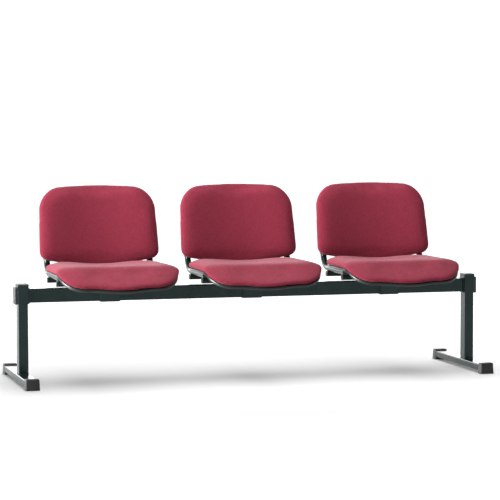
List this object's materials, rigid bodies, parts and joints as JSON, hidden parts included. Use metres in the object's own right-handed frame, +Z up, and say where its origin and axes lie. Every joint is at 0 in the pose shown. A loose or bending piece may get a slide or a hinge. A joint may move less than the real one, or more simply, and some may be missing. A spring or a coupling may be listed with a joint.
{
  "type": "beam seating",
  "caption": "Row of upholstered seats with curved backs, fixed side by side on a steel beam that rests on a leg with a long foot at each end.",
  "frame": {"origin": "on the floor, under the middle of the object's bounding box", "axes": "+X along the beam, to the right as seen from the front; +Y from the front to the rear; +Z up"},
  "size_m": [1.87, 0.5801, 0.7436],
  "materials": {
    "fabric": "woven crimson upholstery",
    "plywood": "unfinished moulded plywood",
    "black_plastic": "finely textured",
    "black_steel": "glossy powder coat",
    "zinc": "zinc plated"
  },
  "bodies": {
    "root": {"beam": "black_steel", "beam_end_cap_left": "black_plastic", "beam_end_cap_right": "black_plastic", "crossbar_plugs": "black_plastic", "foot_cap_front_left": "black_plastic", "foot_cap_front_right": "black_plastic", "foot_cap_rear_left": "black_plastic", "foot_cap_rear_right": "black_plastic", "foot_tube_left": "black_steel", "foot_tube_right": "black_steel", "left_back_board": "plywood", "left_back_cushion": "fabric", "left_back_shell": "black_plastic", "left_clamp_saddle": "black_steel", "left_clamp_strap": "black_steel", "left_crossbar_front": "black_steel", "left_crossbar_rear": "black_steel", "left_seat_board": "plywood", "left_seat_cushion": "fabric", "left_seat_shell": "black_plastic", "left_side_tube_left": "black_steel", "left_side_tube_right": "black_steel", "leg_head_left": "black_steel", "leg_head_plug_left": "black_plastic", "leg_head_plug_right": "black_plastic", "leg_head_right": "black_steel", "leg_upright_left": "black_steel", "leg_upright_right": "black_steel", "middle_back_board": "plywood", "middle_back_cushion": "fabric", "middle_back_shell": "black_plastic", "middle_clamp_saddle": "black_steel", "middle_clamp_strap": "black_steel", "middle_crossbar_front": "black_steel", "middle_crossbar_rear": "black_steel", "middle_seat_board": "plywood", "middle_seat_cushion": "fabric", "middle_seat_shell": "black_plastic", "middle_side_tube_left": "black_steel", "middle_side_tube_right": "black_steel", "right_back_board": "plywood", "right_back_cushion": "fabric", "right_back_shell": "black_plastic", "right_clamp_saddle": "black_steel", "right_clamp_strap": "black_steel", "right_crossbar_front": "black_steel", "right_crossbar_rear": "black_steel", "right_seat_board": "plywood", "right_seat_cushion": "fabric", "right_seat_shell": "black_plastic", "right_side_tube_left": "black_steel", "right_side_tube_right": "black_steel"}
  },
  "joints": []
}
